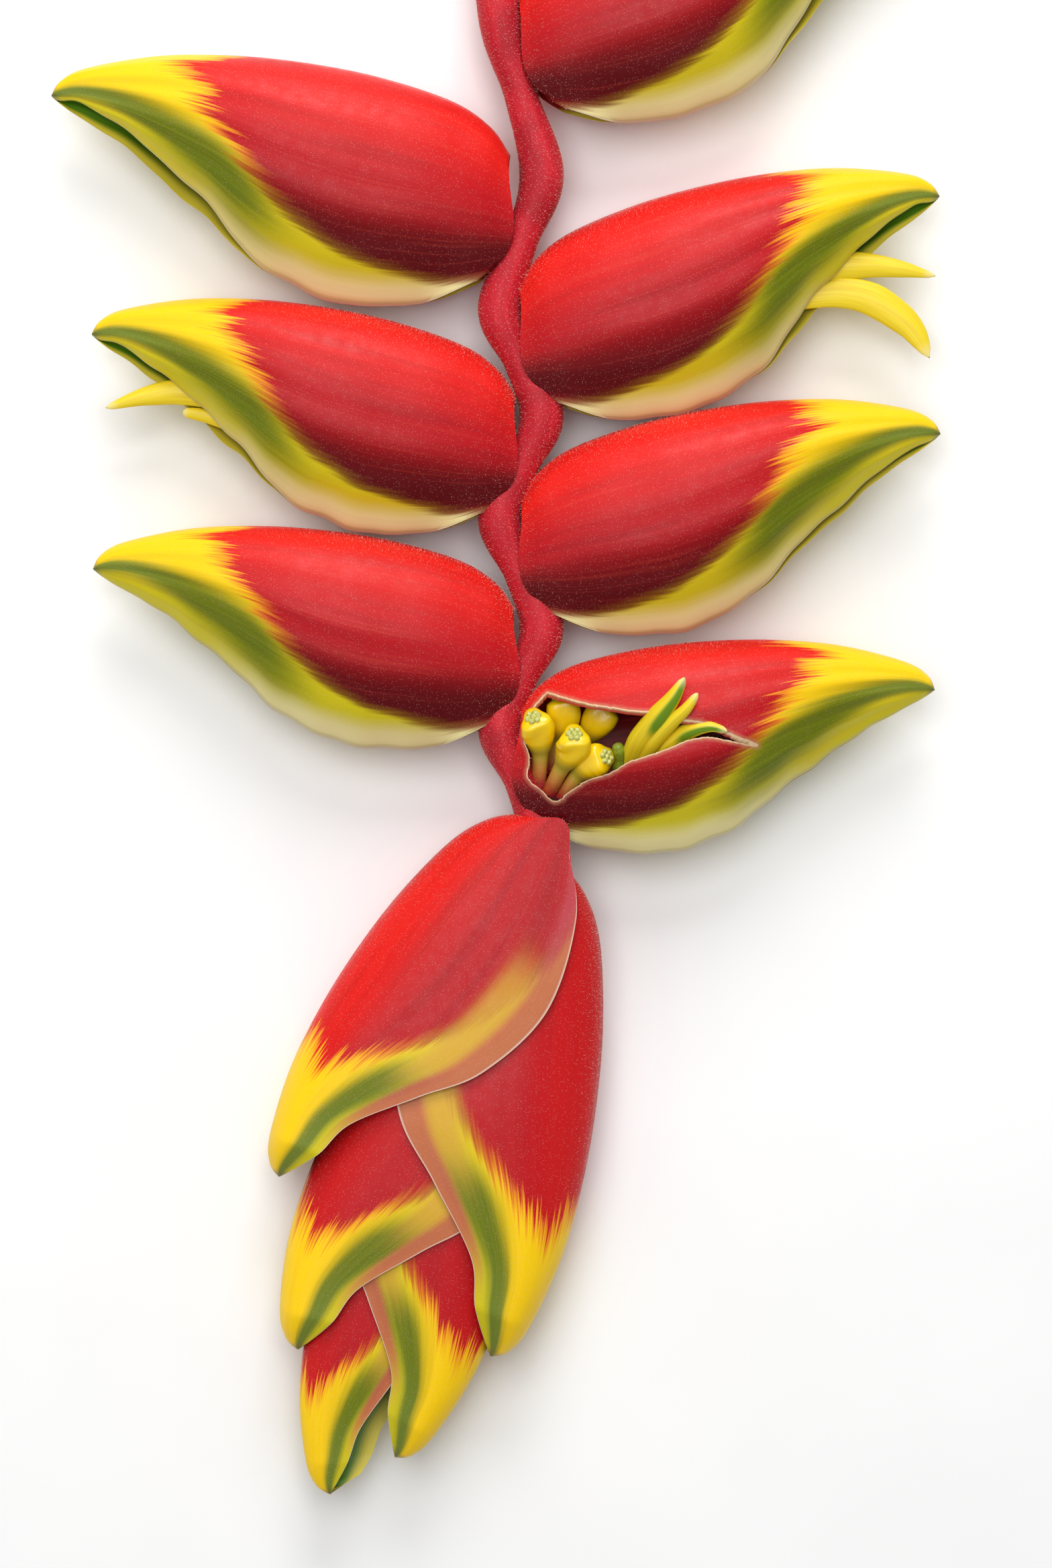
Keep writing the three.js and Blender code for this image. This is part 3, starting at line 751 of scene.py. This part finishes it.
# Each petal: its bract, its line in mm from that bract's root, its radii, thinness, green keel and fold.
PETALS = {
    "open_flower_upper": dict(
        bract="bract_right_4",
        line=[
            (21.6, -11.6, 2.5), (24.0, -6.6, 7.6), (27.4, -2.0, 11.4), (30.5, 2.0, 13.4), (32.8, 6.0, 13.8),
        ],
        radii=[(0, 1.9), (0.3, 2.5), (0.6, 2.3), (0.85, 1.4), (1, 0.6)], thin=0.7, keel=1.0, folded=0.2,
    ),
    "open_flower_lower": dict(
        bract="bract_right_4",
        line=[
            (23.4, -11.4, 3.6), (26.6, -6.8, 8.6), (30.2, -3.0, 12.0), (33.0, -0.4, 13.6), (35.4, 2.9, 13.9),
        ],
        radii=[(0, 1.6), (0.3, 2.0), (0.6, 1.5), (0.85, 1.1), (1, 0.6)], thin=0.7, keel=0.15, folded=0.2,
    ),
    "open_flower_sepal": dict(
        bract="bract_right_4",
        line=[
            (25.2, -11.4, 3.8), (29.2, -7.6, 8.2), (33.4, -4.9, 11.0), (37.8, -3.9, 12.4), (41.4, -4.9, 12.6),
        ],
        radii=[(0, 1.7), (0.35, 2.2), (0.6, 1.7), (0.85, 1.0), (1, 0.6)], thin=0.45, keel=0.9, folded=0.3,
    ),
    "flower_right_upper": dict(
        bract="bract_right_2",
        line=[(57.8, 2.4, 0), (64.0, 4.4, 0), (70.3, 4.8, 0), (77.6, 4.0, 0), (84.4, 2.6, 0)],
        radii=[(0, 2.4), (0.4, 2.8), (0.5, 2.5), (0.75, 1.7), (0.93, 0.8), (1, 0.4)],
        thin=0.4, keel=0, folded=0.1,
    ),
    "flower_right_sepal": dict(
        bract="bract_right_2",
        line=[
            (56.8, -1.6, 0), (64.1, -0.7, 0), (70.3, -1.6, 0), (75.3, -4.3, 0), (79.8, -8.2, 0), (83.2, -14, 0),
        ],
        radii=[(0, 2.6), (0.25, 3.1), (0.5, 3.4), (0.7, 3.0), (0.86, 2.1), (0.96, 1.0), (1, 0.4)],
        thin=0.3, keel=0, folded=0.1,
    ),
    "flower_left_upper": dict(
        bract="bract_left_2", line=[(-56.8, -1.4, 0), (-66.8, 0.8, 0), (-74.8, 0.0, 0), (-82.9, -2.4, 0)],
        radii=[(0, 2.2), (0.4, 2.7), (0.6, 2.3), (0.85, 1.2), (1, 0.5)], thin=0.4, keel=0, folded=0.1,
    ),
    "flower_left_lower": dict(
        bract="bract_left_2", line=[(-54.8, -7, 0), (-60.8, -4.4, 0), (-67.4, -3.2, 0)],
        radii=[(0, 1.6), (0.5, 1.6), (0.85, 1.2), (1, 0.8)], thin=0.5, keel=0, folded=0.1,
    ),
}
SMALL_BUD = [(19.4, -13.6, 1.0), (20.1, -9.9, 4.2), (19.3, -7.2, 6.0)]
# Loose scraps at the rim of the tear: the dried one and the curled one.
SCRAPS = {
    "dried_scrap": dict(
        line=[(32.6, -2.2, 10.2), (34.6, -1.5, 10.8), (36.8, -2.2, 10.2)],
        radii=[(0, 0.5), (0.5, 1.0), (1, 0.4)],
        skin=dry_tissue,
    ),
    "curled_scrap": dict(
        line=[(23.2, -0.1, 9.6), (25.2, -0.3, 10.6), (27.6, -1.3, 9.8)],
        radii=[(0, 0.5), (0.4, 0.8), (1, 0.3)],
        skin=curled_rim,
    ),
}


# ---- Geometry Nodes trees ----
def new_tree(name, inputs):
    """An empty geometry tree with named inputs; returns it with its input node and output node."""
    tree = bpy.data.node_groups.new(name, "GeometryNodeTree")
    tree.interface.new_socket("Geometry", in_out="INPUT", socket_type="NodeSocketGeometry")
    for label, kind, default in inputs:
        tree.interface.new_socket(label, in_out="INPUT", socket_type=kind).default_value = default
    tree.interface.new_socket("Geometry", in_out="OUTPUT", socket_type="NodeSocketGeometry")
    return tree, tree.nodes.new("NodeGroupInput"), tree.nodes.new("NodeGroupOutput")


def apply_tree(obj, tree, name, values):
    """Runs a geometry tree on obj with its inputs set, and returns the result as a new plain object."""
    modifier = obj.modifiers.new(tree.name, "NODES")
    modifier.node_group = tree
    for item in tree.interface.items_tree:
        if item.item_type == "SOCKET" and item.in_out == "INPUT" and item.name in values:
            modifier[item.identifier] = values[item.name]
    bpy.context.view_layer.update()
    graph = bpy.context.evaluated_depsgraph_get()
    mesh = bpy.data.meshes.new_from_object(
        obj.evaluated_get(graph), preserve_all_data_layers=True, depsgraph=graph
    )
    mesh.name = name
    obj.modifiers.remove(modifier)
    result = bpy.data.objects.new(name, mesh)
    bpy.context.scene.collection.objects.link(result)
    return result


def finish_tree(tree, given, out, geometry):
    """Ends a tree: its instances become real and take the material."""
    real = add_node(tree, "GeometryNodeRealizeInstances", {"Geometry": geometry})
    finish = add_node(
        tree, "GeometryNodeSetMaterial", {"Geometry": real.outputs[0], "Material": given.outputs["Material"]}
    )
    tree.links.new(finish.outputs[0], out.inputs[0])


def tube_tree():
    """A tree that turns a curve into a closed tube, and stores how far along and around each corner lies."""
    tree, given, out = new_tree(
        "closed tube", [("Sides", "NodeSocketInt", 24), ("Material", "NodeSocketMaterial", None)]
    )
    path = add_node(tree, "GeometryNodeCaptureAttribute", {"Geometry": given.outputs["Geometry"]})
    path.capture_items.new("FLOAT", "Along")
    tree.links.new(add_node(tree, "GeometryNodeSplineParameter").outputs["Factor"], path.inputs["Along"])
    ring = add_node(
        tree, "GeometryNodeCurvePrimitiveCircle", {"Resolution": given.outputs["Sides"], "Radius": 1.0}
    )
    profile = add_node(tree, "GeometryNodeCaptureAttribute", {"Geometry": ring.outputs["Curve"]})
    profile.capture_items.new("FLOAT", "Around")
    tree.links.new(add_node(tree, "GeometryNodeSplineParameter").outputs["Factor"], profile.inputs["Around"])
    tube = add_node(
        tree, "GeometryNodeCurveToMesh",
        {
            "Curve": path.outputs["Geometry"],
            "Profile Curve": profile.outputs["Geometry"],
            "Scale": add_node(tree, "GeometryNodeInputRadius").outputs[0],
            "Fill Caps": True,
        },
    )
    place = add_node(
        tree, "ShaderNodeCombineXYZ", {"X": path.outputs["Along"], "Y": profile.outputs["Around"]}
    )
    stored = add_node(
        tree, "GeometryNodeStoreNamedAttribute",
        {"Geometry": tube.outputs[0], "Value": place.outputs[0], "Name": "growth"},
        data_type="FLOAT2", domain="CORNER",
    )
    finish_tree(tree, given, out, stored.outputs[0])
    return tree


def hair_tree():
    """A tree that stands short tapering hairs on a surface, as densely as its hairy attribute says."""
    tree, given, out = new_tree(
        "short hairs",
        [
            ("Density", "NodeSocketFloat", 3e6),
            ("Length", "NodeSocketFloat", 0.0004),
            ("Width", "NodeSocketFloat", 0.00003),
            ("Seed", "NodeSocketInt", 0),
            ("Material", "NodeSocketMaterial", None),
        ],
    )
    hairy = add_node(tree, "GeometryNodeInputNamedAttribute", {"Name": "hairy"}, data_type="FLOAT")
    amount = add_node(
        tree, "ShaderNodeMath", {0: hairy.outputs[0], 1: given.outputs["Density"]}, operation="MULTIPLY"
    )
    spread = add_node(
        tree, "GeometryNodeDistributePointsOnFaces",
        {"Mesh": given.outputs["Geometry"], "Density": amount.outputs[0], "Seed": given.outputs["Seed"]},
    )
    cone = add_node(
        tree, "GeometryNodeMeshCone",
        {"Radius Bottom": given.outputs["Width"], "Depth": given.outputs["Length"], "Vertices": 3},
        fill_type="NONE",
    )
    lean = add_node(
        tree, "FunctionNodeRandomValue", {0: (-0.5, -0.5, -0.5), 1: (0.5, 0.5, 0.5)}, data_type="FLOAT_VECTOR"
    )
    turned = add_node(tree, "FunctionNodeRotateRotation", {0: spread.outputs["Rotation"], 1: lean.outputs[0]})
    size = add_node(tree, "FunctionNodeRandomValue", {2: 0.5, 3: 1.3}, data_type="FLOAT")
    placed = add_node(
        tree, "GeometryNodeInstanceOnPoints",
        {
            "Points": spread.outputs["Points"],
            "Instance": cone.outputs["Mesh"],
            "Rotation": turned.outputs[0],
            "Scale": size.outputs[1],
        },
    )
    finish_tree(tree, given, out, placed.outputs[0])
    return tree


# ---- sizes and colours that a user would change ----
def length_property(name, default, description):
    """A length in metres."""
    return bpy.props.FloatProperty(name=name, description=description, default=default, unit="LENGTH")


def colour_property(name, hex_colour, description):
    """A colour, given here as sRGB hex."""
    return bpy.props.FloatVectorProperty(
        name=name, description=description, default=linear(hex_colour)[:3],
        size=3, subtype="COLOR", min=0, max=1,
    )


class HeliconiaSizes(bpy.types.PropertyGroup):
    """Sizes of the flower head's own tissues"""

    grown_half: length_property("Bract half thickness", 0.0126, "Fullest half thickness of a grown bract")
    grown_wall: length_property("Bract wall", 0.0009, "Thickness of a grown bract's skin")
    bud_half: length_property("Bud half thickness", 0.0115, "Fullest half thickness of the bud")
    bud_step: length_property("Bud layer step", 0.0009, "Depth from one bud bract to the next")
    bud_wall: length_property("Bud bract wall", 0.0005, "Thickness of a young bract")
    stem_radius: length_property("Stem radius", 0.0045, "Half the width of the stem where it is widest")
    stem_waist: length_property("Stem waist", 0.0034, "Half the width of the stem where it crosses over")
    hair_length: length_property("Hair length", 0.0004, "Length of the short hairs")


class HeliconiaColours(bpy.types.PropertyGroup):
    """Colours of the flower head and of the floor"""

    # The keel red carries a painted highlight and the belly red carries painted shade, besides the skin's own
    # red.
    keel_red_and_highlight: colour_property("Keel red", "#e01b14", "Bract skin along the keel")
    side_red: colour_property("Side red", "#b8101a", "Bract skin on the side")
    belly_red_and_shade: colour_property("Belly red", "#5a0008", "Bract skin low on the belly")
    keel_yellow: colour_property("Keel yellow", "#fbce0a", "Bract skin past the red, along the keel")
    leaf_green: colour_property("Leaf green", "#4f6404", "The green band")
    tip_green: colour_property("Tip green", "#5c7a34", "The green band near the tip")
    lip_cream: colour_property("Lip cream", "#ece0a8", "The margin of a grown bract near its base")
    gold: colour_property("Gold", "#d39c34", "The golden stretch beside the margin of a young bract")
    thin_margin: colour_property("Thin margin", "#b8404a", "The thin margin of a young bract")
    stem_red: colour_property("Stem red", "#b80f22", "The stem")
    ovary_yellow: colour_property("Ovary yellow", "#f9d008", "The cap of an ovary")
    petal_yellow: colour_property("Petal yellow", "#eed324", "The petals")
    bud_green: colour_property("Bud green", "#7a901a", "The small flower bud")
    floor: colour_property("Floor", "#f8f8f8", "The paper that the flower head lies on")


class HeliconiaStage(bpy.types.PropertyGroup):
    """The view of the flower head"""

    view_width: length_property("View width", 0.2117, "Width of the surface that the camera sees")
    view_centre: bpy.props.FloatVectorProperty(
        name="View centre", description="Point of the surface that the camera looks down on", size=2,
        default=(0.0056, -0.0380), unit="LENGTH",
    )


def sizes():
    """The sizes that the user can set."""
    return bpy.context.scene.heliconia_sizes


# ---- operators: one for each piece or group of like pieces ----
class HELICONIA_OT_grown_bracts(bpy.types.Operator):
    """Builds the grown bracts, each a closed folded sheet; the last one is torn open on its near side"""

    bl_idname = "heliconia.grown_bracts"
    bl_label = "Grown bracts"

    def execute(self, context):
        given = sizes()
        draw = Random(7)
        tear = smooth_line(TEAR + TEAR[:1])(np.linspace(0, 1, 401)[:-1]) + ROOTS[TEAR_BRACT]
        tear = tear + [[draw.gauss(0, FRAY), draw.gauss(0, FRAY)] for _ in tear]
        for number, node in enumerate(GROWN):
            obj = sheet_mesh(
                node + "_skin",
                lambda s, t, inset: grown_point(node, s, t, inset, given),
                given.grown_wall / MM,
                seed=number * 1.7,
                outline=tear if node == TEAR_BRACT else (),
            )
            obj.data.materials.append(material(bract_skin))
            obj.data.materials.append(material(bract_lining))
            claim(obj, "bract_skin", node)
        return {"FINISHED"}


class HELICONIA_OT_bud_bracts(bpy.types.Operator):
    """Builds the young bracts of the closed bud, each folded over the ones that follow"""

    bl_idname = "heliconia.bud_bracts"
    bl_label = "Bud bracts"

    def execute(self, context):
        given = sizes()
        for number, node in enumerate(YOUNG):
            obj = sheet_mesh(
                node + "_skin",
                lambda s, t, inset: bud_point(node, s, t, inset, given),
                given.bud_wall / MM,
                seed=20 + number * 2.3,
                young=True,
                # The inner bracts of the bud get painted shade.
                inner_shaded=number > 0,
            )
            obj.data.materials.append(material(bract_skin))
            obj.data.materials.append(material(bract_lining))
            claim(obj, "bract_skin", node)
        return {"FINISHED"}


class HELICONIA_OT_stem(bpy.types.Operator):
    """Builds the zigzag stem, which leans away from each bract in turn and narrows where it crosses over"""

    bl_idname = "heliconia.stem"
    bl_label = "Stem"

    def execute(self, context):
        wide, waist = sizes().stem_radius / MM, sizes().stem_waist / MM
        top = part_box("stem")[1][1] / MM
        axis = ROOTS["bract_right_4"][0] + 0.1
        hosts = [*GROWN.items(), ("bud_bract_1", YOUNG["bud_bract_1"])]
        bends = [
            (axis - spec["side"] * STEM_SWING, ROOTS[node][1] - STEM_DROP, wide) for node, spec in hosts
        ]
        line = [(axis + x, top + y, wide) for x, y in STALK]
        for bend, following in zip(bends, bends[1:] + bends[-1:]):
            line.append(bend)
            if following is not bend:
                line.append(((bend[0] + following[0]) / 2, (bend[1] + following[1]) / 2, waist))
        low = bends[-1][1]
        line += [(axis + x, low + y, radius) for x, y, radius in HIDDEN_END]
        count = 320
        points = smooth_line(line)(np.linspace(0, 1, count))
        curve = bpy.data.curves.new("stem_path", "CURVE")
        curve.dimensions = "3D"
        spline = curve.splines.new("POLY")
        spline.points.add(count - 1)
        for (x, y, radius), point in zip(points, spline.points):
            point.co = (x * MM, y * MM, MIDDLE * MM, 1)
            point.radius = radius * MM
        path = bpy.data.objects.new("stem_path", curve)
        context.scene.collection.objects.link(path)
        obj = apply_tree(path, tube_tree(), "stem_tube", {"Sides": 40, "Material": material(velvet_stem)})
        bpy.data.objects.remove(path)
        tidy_mesh(obj)
        hairy = obj.data.attributes.new("hairy", "FLOAT", "POINT")
        hairy.data.foreach_set("value", np.ones(len(obj.data.vertices)))
        claim(obj, "stem_skin", "stem")
        return {"FINISHED"}


class HELICONIA_OT_ovaries(bpy.types.Operator):
    """Builds the ovaries on their stalks, each with a three-lobed cap and the pads of its scar"""

    bl_idname = "heliconia.ovaries"
    bl_label = "Ovaries"

    def execute(self, context):
        for node, line in OVARIES.items():
            place = grown_from(TEAR_BRACT, line)
            obj = swept_mesh(node + "_flesh", place, OVARY_RADII, lobes=0.16)
            obj.data.materials.append(material(ovary_flesh))
            claim(obj, "ovary_flesh", node)
            scar = scar_pads(node, place)
            scar.data.materials.append(material(scar_flesh))
            claim(scar, "ovary_flesh")
        return {"FINISHED"}


def scar_pads(node, line):
    """A ring of small pads sunk in the cap of an ovary, round one in the middle."""
    end = Vector(line[-1]) * MM
    axis = (end - Vector(line[-2]) * MM).normalized()
    turn = axis.to_track_quat("Z", "Y").to_matrix()
    work = bmesh.new()
    for k in range(7):
        angle = 2 * math.pi * k / 6
        reach = 0 if k == 6 else 1.15 * MM
        local = Vector((math.cos(angle) * reach, math.sin(angle) * reach, 0))
        made = bmesh.ops.create_icosphere(work, subdivisions=3, radius=0.62 * MM)
        centre = end - axis * 0.15 * MM + turn @ local
        for vertex in made["verts"]:
            vertex.co += centre
    mesh = bpy.data.meshes.new(node + "_scar")
    work.to_mesh(mesh)
    work.free()
    mesh.polygons.foreach_set("use_smooth", [True] * len(mesh.polygons))
    obj = bpy.data.objects.new(node + "_scar", mesh)
    bpy.context.scene.collection.objects.link(obj)
    return obj


class HELICONIA_OT_petals(bpy.types.Operator):
    """Builds the petals of the open flowers and the small green bud"""

    bl_idname = "heliconia.petals"
    bl_label = "Petals"

    def execute(self, context):
        for node, petal in PETALS.items():
            shape = {key: petal[key] for key in ("thin", "keel", "folded")}
            line = grown_from(petal["bract"], petal["line"])
            obj = swept_mesh(node + "_tissue", line, petal["radii"], **shape)
            obj.data.materials.append(material(petal_skin))
            claim(obj, "petal", node)
        radii = [(0, 1.2), (0.35, 1.6), (0.55, 1.2), (0.8, 1.4), (1, 0.9)]
        obj = swept_mesh("small_bud_skin", grown_from(TEAR_BRACT, SMALL_BUD), radii)
        obj.data.materials.append(material(green_bud))
        claim(obj, "bud_green", "small_bud")
        return {"FINISHED"}


class HELICONIA_OT_scraps(bpy.types.Operator):
    """Builds the loose scraps of tissue at the rim of the tear"""

    bl_idname = "heliconia.scraps"
    bl_label = "Scraps"

    def execute(self, context):
        for name, scrap in SCRAPS.items():
            obj = swept_mesh(name, grown_from(TEAR_BRACT, scrap["line"]), scrap["radii"], thin=0.5)
            obj.data.materials.append(material(scrap["skin"]))
            claim(obj, "bract_skin")
        return {"FINISHED"}


class HELICONIA_OT_hairs(bpy.types.Operator):
    """Covers the stem and the keels of the bracts with short hairs"""

    bl_idname = "heliconia.hairs"
    bl_label = "Short hairs"

    def execute(self, context):
        tree = hair_tree()
        hosts = {"stem_tube": STEM_HAIR_DENSITY}
        hosts.update({node + "_skin": BRACT_HAIR_DENSITY for node in [*GROWN, *YOUNG]})
        for seed, (name, density) in enumerate(hosts.items()):
            values = {
                "Density": density,
                "Length": sizes().hair_length,
                "Seed": seed,
                "Material": material(pale_hair),
            }
            obj = apply_tree(bpy.data.objects[name], tree, name + "_hairs", values)
            claim(obj, "stem_skin" if name == "stem_tube" else "bract_skin")
        return {"FINISHED"}


class HELICONIA_OT_stage(bpy.types.Operator):
    """Lays the pale floor, hangs the soft lights and sets the camera that looks down on the flower head"""

    bl_idname = "heliconia.stage"
    bl_label = "Stage"

    def execute(self, context):
        given = context.scene.heliconia_stage
        x, y = given.view_centre
        corners = [(-1.5, -1.5, 0), (1.5, -1.5, 0), (1.5, 1.5, 0), (-1.5, 1.5, 0)]
        mesh = bpy.data.meshes.new("paper_floor")
        mesh.from_pydata(corners, [], [(0, 1, 2, 3)])
        floor = bpy.data.objects.new("paper_floor", mesh)
        context.scene.collection.objects.link(floor)
        floor.data.materials.append(material(pale_floor))
        # Each lamp: its place and its width in metres, and its power in watts.
        lamps = {
            "overhead_softbox": ((x - 0.1, y + 0.25, 1.1), 0.8, 7.5),
            "keel_side_softbox": ((x + 0.05, y + 0.95, 0.6), 0.5, 7.0),
            "fill_softbox": ((x - 0.9, y - 0.3, 0.7), 0.8, 0.8),
        }
        for name, (place, width, power) in lamps.items():
            light = bpy.data.lights.new(name, "AREA")
            light.size = width
            light.energy = power
            lamp = bpy.data.objects.new(name, light)
            lamp.location = place
            lamp.rotation_euler = (Vector((x, y, 0)) - Vector(place)).to_track_quat("-Z", "Y").to_euler()
            context.scene.collection.objects.link(lamp)
        world = bpy.data.worlds.new("pale_room")
        world.use_nodes = True
        sky = world.node_tree.nodes["Background"]
        sky.inputs["Color"].default_value = (1, 1, 1, 1)
        sky.inputs["Strength"].default_value = 0.32
        context.scene.world = world
        context.scene.view_settings.view_transform = "Standard"
        lens = bpy.data.cameras.new("overhead_camera")
        lens.lens = LENS_MM
        camera = bpy.data.objects.new("overhead_camera", lens)
        distance = given.view_width * VIEW_ASPECT * lens.lens / lens.sensor_width
        camera.location = (x, y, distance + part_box("stem")[1][2])
        context.scene.collection.objects.link(camera)
        context.scene.camera = camera
        return {"FINISHED"}


OPERATORS = [
    HELICONIA_OT_stage,
    HELICONIA_OT_grown_bracts,
    HELICONIA_OT_bud_bracts,
    HELICONIA_OT_stem,
    HELICONIA_OT_ovaries,
    HELICONIA_OT_petals,
    HELICONIA_OT_scraps,
    HELICONIA_OT_hairs,
]


class HELICONIA_PT_panel(bpy.types.Panel):
    """Lists the steps that build the flower head"""

    bl_idname = "HELICONIA_PT_panel"
    bl_label = "Heliconia flower head"
    bl_space_type = "VIEW_3D"
    bl_region_type = "UI"
    bl_category = "Heliconia"

    def draw(self, context):
        for operator in OPERATORS:
            self.layout.operator(operator.bl_idname)


GROUPS = {
    "heliconia_sizes": HeliconiaSizes,
    "heliconia_colours": HeliconiaColours,
    "heliconia_stage": HeliconiaStage,
}
CLASSES = [*GROUPS.values(), *OPERATORS, HELICONIA_PT_panel]


def register():
    for kind in CLASSES:
        bpy.utils.register_class(kind)
    for name, group in GROUPS.items():
        setattr(bpy.types.Scene, name, bpy.props.PointerProperty(type=group))


def unregister():
    for name in GROUPS:
        delattr(bpy.types.Scene, name)
    for kind in reversed(CLASSES):
        bpy.utils.unregister_class(kind)


def main():
    register()
    for operator in OPERATORS:
        group, name = operator.bl_idname.split(".")
        getattr(getattr(bpy.ops, group), name)()


if __name__ == "__main__":
    main()
